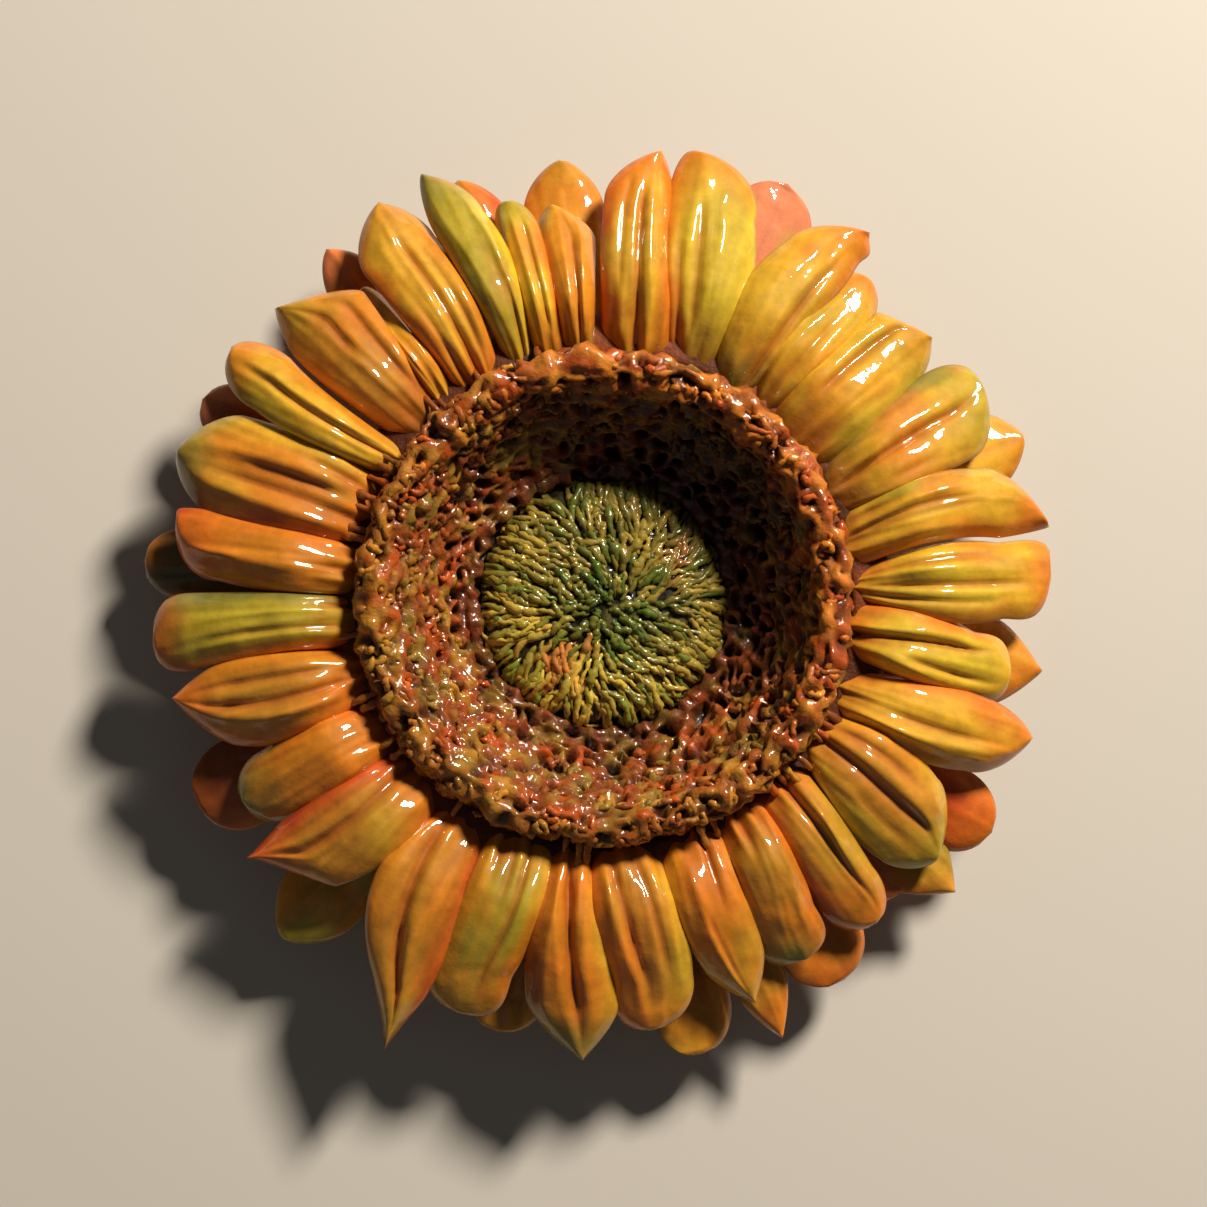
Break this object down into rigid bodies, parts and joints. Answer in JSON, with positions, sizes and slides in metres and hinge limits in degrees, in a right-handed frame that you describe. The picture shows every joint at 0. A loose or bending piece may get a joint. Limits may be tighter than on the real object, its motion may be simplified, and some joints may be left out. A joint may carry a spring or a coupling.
{
  "type": "sculpted sunflower head",
  "caption": "Sculpted, painted and glazed sunflower head with layered furrowed petals, a bowl-shaped ring of florets and a green centre, lying on its back.",
  "frame": {"origin": "middle of the flat resting spot under the receptacle", "axes": "+Z out of the flower's face, +Y towards the petals at the top of the picture, +X towards its right"},
  "size_m": [0.1195, 0.12, 0.0222],
  "materials": {
    "receptacle_clay": "painted clay under a thin clear glaze",
    "back_petal_clay": "painted clay under a clear glaze",
    "front_petal_clay": "painted clay under a glossy clear glaze",
    "floret_clay": "torn clay, painted brown and orange, under a glossy clear glaze",
    "centre_clay": "torn clay, painted green, under a glossy clear glaze"
  },
  "bodies": {
    "root": {"receptacle": "receptacle_clay", "ray_petals_back": "back_petal_clay", "ray_petals_front": "front_petal_clay", "floret_ring": "floret_clay", "disc_centre": "centre_clay"}
  },
  "joints": []
}
